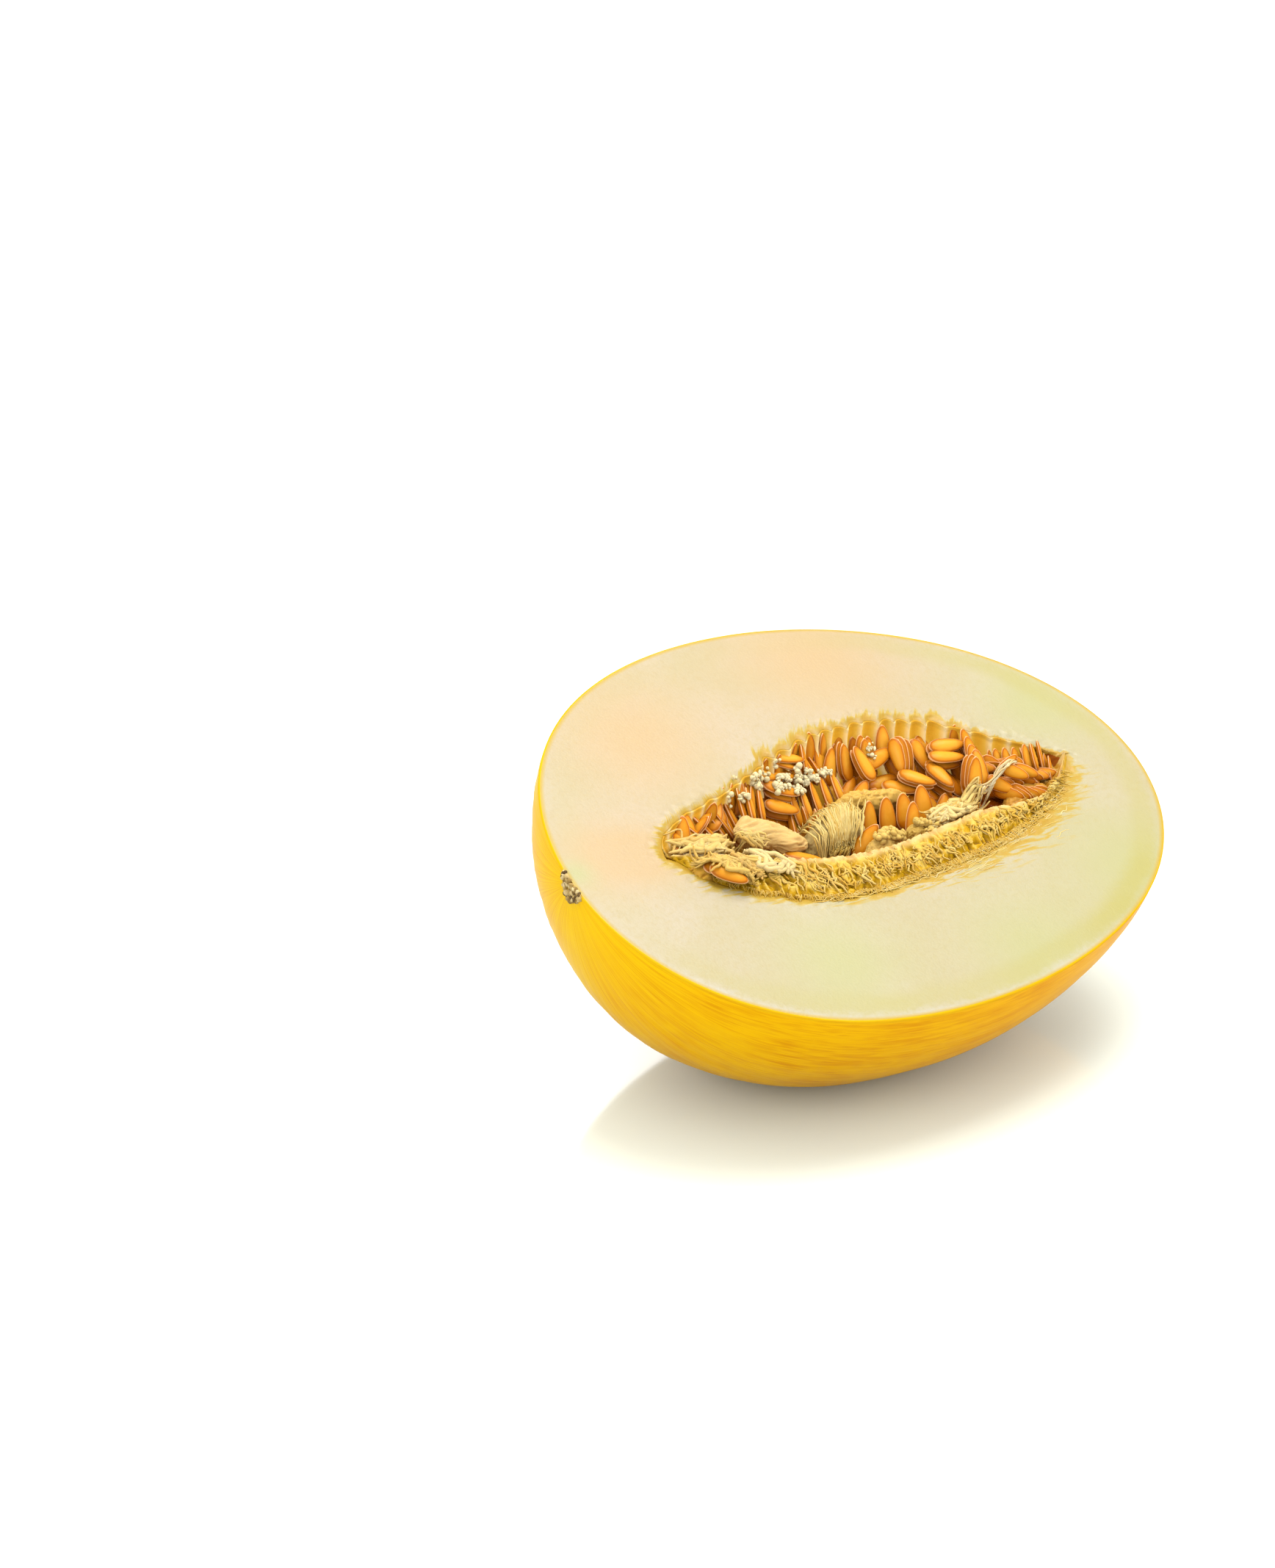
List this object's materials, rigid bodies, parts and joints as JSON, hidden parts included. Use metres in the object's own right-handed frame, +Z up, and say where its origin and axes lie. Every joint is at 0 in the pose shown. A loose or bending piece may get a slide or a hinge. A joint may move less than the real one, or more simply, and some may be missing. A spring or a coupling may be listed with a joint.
{
  "type": "half melon",
  "caption": "Ripe yellow melon cut in half lengthwise, lying on its belly, with a hollow full of wet pulp and seeds.",
  "frame": {"origin": "centre of the small flat spot on the belly, which the half rests on", "axes": "+Z up; +X along the core towards the blossom end; the cut face tips towards -Y"},
  "size_m": [0.1998, 0.1478, 0.1055],
  "materials": {
    "rind_and_flesh": "waxy yellow rind with a satin sheen outside; moist cream flesh on the cut face",
    "wet_pulp": "wet, stringy and half clear",
    "seed_coat": "wet and glossy golden orange"
  },
  "bodies": {
    "root": {"melon_half": "rind_and_flesh", "seed_pulp": "wet_pulp", "seed_01": "seed_coat", "seed_02": "seed_coat", "seed_03": "seed_coat", "seed_04": "seed_coat", "seed_05": "seed_coat", "seed_06": "seed_coat", "seed_07": "seed_coat", "seed_08": "seed_coat", "seed_09": "seed_coat", "seed_10": "seed_coat", "seed_11": "seed_coat", "seed_12": "seed_coat", "seed_13": "seed_coat", "seed_14": "seed_coat", "seed_15": "seed_coat", "seed_16": "seed_coat", "seed_17": "seed_coat", "seed_18": "seed_coat", "seed_19": "seed_coat", "seed_20": "seed_coat", "seed_21": "seed_coat", "seed_22": "seed_coat", "seed_23": "seed_coat", "seed_24": "seed_coat", "seed_25": "seed_coat", "seed_26": "seed_coat", "seed_27": "seed_coat", "seed_28": "seed_coat", "seed_29": "seed_coat", "seed_30": "seed_coat", "seed_31": "seed_coat", "seed_32": "seed_coat", "seed_33": "seed_coat", "seed_34": "seed_coat", "seed_35": "seed_coat", "seed_36": "seed_coat", "seed_37": "seed_coat", "seed_38": "seed_coat", "seed_39": "seed_coat", "seed_40": "seed_coat", "seed_41": "seed_coat", "seed_42": "seed_coat", "seed_43": "seed_coat", "seed_44": "seed_coat", "seed_45": "seed_coat", "seed_46": "seed_coat", "seed_47": "seed_coat", "seed_48": "seed_coat", "seed_49": "seed_coat", "seed_50": "seed_coat", "seed_51": "seed_coat", "seed_52": "seed_coat", "seed_53": "seed_coat", "seed_54": "seed_coat"}
  },
  "joints": []
}
